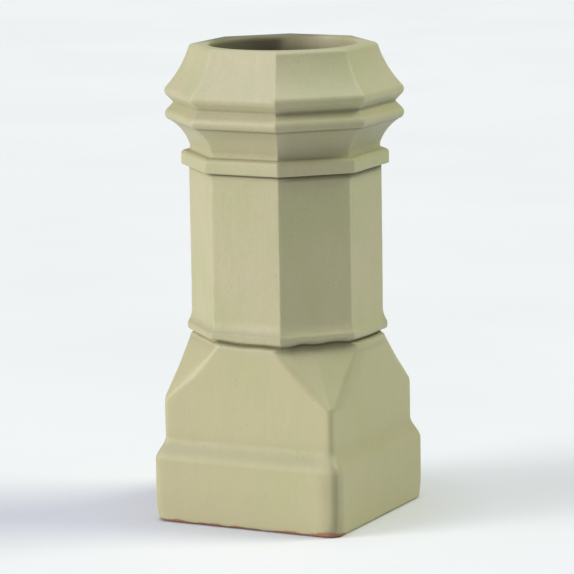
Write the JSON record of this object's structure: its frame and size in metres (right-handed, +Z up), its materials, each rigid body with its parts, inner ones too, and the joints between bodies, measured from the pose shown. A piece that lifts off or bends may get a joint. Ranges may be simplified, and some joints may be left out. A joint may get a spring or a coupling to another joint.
{
  "type": "chimney pot",
  "caption": "Octagonal glazed clay chimney pot with a twin-roll head, ringed neck and broached square base, hollow from foot to rim.",
  "frame": {"origin": "centre of the square foot, on the surface that the pot stands on", "axes": "+Z up the flue, -Y out of one face of the square base, +X out of the next face"},
  "size_m": [0.351, 0.351, 0.75],
  "materials": {
    "glazed_clay": "pale greenish buff satin glaze over fireclay, bare and reddish at the foot"
  },
  "bodies": {
    "root": {"chimney_pot": "glazed_clay"}
  },
  "joints": []
}
